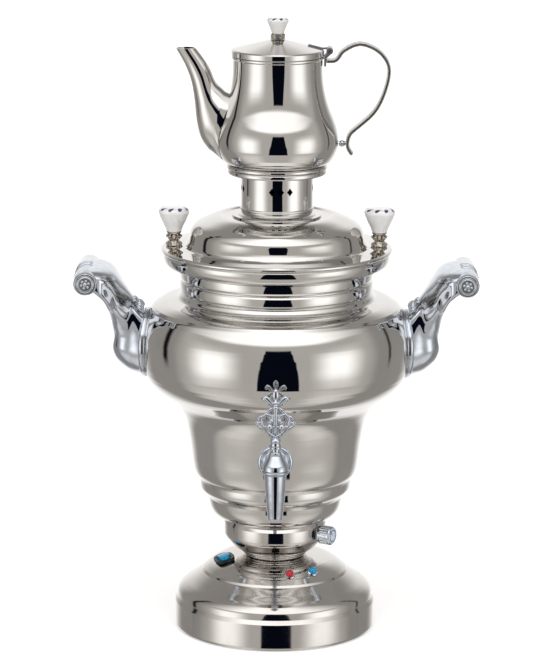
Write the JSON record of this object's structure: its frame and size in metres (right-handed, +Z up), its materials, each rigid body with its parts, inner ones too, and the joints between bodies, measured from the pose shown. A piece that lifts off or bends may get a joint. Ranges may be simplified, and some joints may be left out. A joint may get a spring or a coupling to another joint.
{
  "type": "electric samovar with teapot",
  "caption": "Vase-shaped electric samovar with a turning front tap, side handles and a lift-off lid, with a small teapot standing on its steam crown.",
  "frame": {"origin": "centre of the round foot, on the surface the samovar stands on", "axes": "+Z up the samovar's axis, +Y from the tap towards the back, +X towards the right handle"},
  "size_m": [0.3296, 0.2431, 0.507],
  "materials": {
    "polished_steel": "spun and polished stainless sheet",
    "pressed_steel": "plain pressed or drawn steel, matte",
    "fastener_steel": "zinc-plated fasteners",
    "heater_sheath": "heat-tinted stainless sheath tube",
    "chromed_casting": "bright chromium plate over a casting",
    "brass": "turned brass",
    "porcelain": "white glazed porcelain with blue dots",
    "black_plastic": "moulded black plastic",
    "terminal_ceramic": "unglazed steatite",
    "blue_plastic": "blue translucent moulded rocker",
    "dial_plastic": "light moulded knob",
    "red_lens": "red moulded lamp lens",
    "blue_lens": "blue moulded lamp lens",
    "silicone": "red-brown silicone rubber"
  },
  "bodies": {
    "urn": {"foot_ring": "polished_steel", "base_plate": "pressed_steel", "plate_screws": "fastener_steel", "base_shell": "polished_steel", "cord_gland": "black_plastic", "terminal_block": "terminal_ceramic", "lamp_red": "red_lens", "lamp_blue": "blue_lens", "lamp_bezels": "polished_steel", "switch_bezel": "black_plastic", "stem": "polished_steel", "drum": "polished_steel", "tie_rod": "pressed_steel", "tie_nuts": "fastener_steel", "thermostat": "pressed_steel", "thermostat_nut": "fastener_steel", "tank_cup": "polished_steel", "tank_funnel": "polished_steel", "tank_lower": "polished_steel", "tank_upper": "polished_steel", "tank_neck": "polished_steel", "tank_floor": "polished_steel", "floor_seal": "silicone", "heating_element": "heater_sheath", "element_nuts": "fastener_steel", "dry_boil_cutout": "pressed_steel", "tap_rosette": "chromed_casting", "tap_body": "chromed_casting", "tap_nut": "chromed_casting", "tap_seal": "silicone", "tap_bonnet": "chromed_casting", "handle_left": "chromed_casting", "handle_right": "chromed_casting", "handle_screws": "fastener_steel", "handle_washers": "silicone"},
    "switch": {"switch_rocker": "blue_plastic"},
    "thermostat_dial": {"thermostat_spindle": "brass", "thermostat_knob": "dial_plastic"},
    "tap_valve": {"tap_plug": "brass", "tap_key": "chromed_casting"},
    "lid": {"lid_shell": "polished_steel", "lid_posts": "chromed_casting", "lid_knobs": "porcelain", "lid_nuts": "fastener_steel"},
    "crown": {"crown_tube": "polished_steel", "crown_ring": "polished_steel"},
    "teapot": {"pot_body": "polished_steel", "pot_foot": "polished_steel", "pot_spout": "chromed_casting", "pot_handle": "chromed_casting", "pot_standoff": "chromed_casting", "pot_hinge": "chromed_casting", "hinge_pin": "fastener_steel"},
    "teapot_lid": {"pot_lid": "polished_steel", "lid_leaf": "chromed_casting", "pot_knob_post": "chromed_casting", "pot_knob": "porcelain"}
  },
  "joints": [
    {"name": "lid_lift", "type": "slide", "parent": "urn", "child": "lid", "axis": [0, 0, 1], "range_m": [0, 0.12]},
    {"name": "crown_lift", "type": "slide", "parent": "lid", "child": "crown", "axis": [0, 0, 1], "range_m": [0, 0.06]},
    {"name": "teapot_lift", "type": "slide", "parent": "crown", "child": "teapot", "axis": [0, 0, 1], "range_m": [0, 0.08]},
    {"name": "teapot_lid_hinge", "type": "hinge", "parent": "teapot", "child": "teapot_lid", "pos_m": [0.04175, 0, 0.4804], "axis": [0, 1, 0], "range_deg": [0, 95]},
    {"name": "tap_turn", "type": "hinge", "parent": "urn", "child": "tap_valve", "pos_m": [0, -0.122, 0.1563], "axis": [0, 0, 1], "range_deg": [0, 90]},
    {"name": "thermostat_turn", "type": "hinge", "parent": "urn", "child": "thermostat_dial", "pos_m": [0, 0, 0.0827], "axis": [0.866, -0.5, 0], "range_deg": [0, 270]},
    {"name": "switch_rock", "type": "hinge", "parent": "urn", "child": "switch", "pos_m": [-0.04168, -0.0146, 0.05899], "axis": [-0.9102, -0.3188, -0.2644], "range_deg": [-16, 0]}
  ]
}
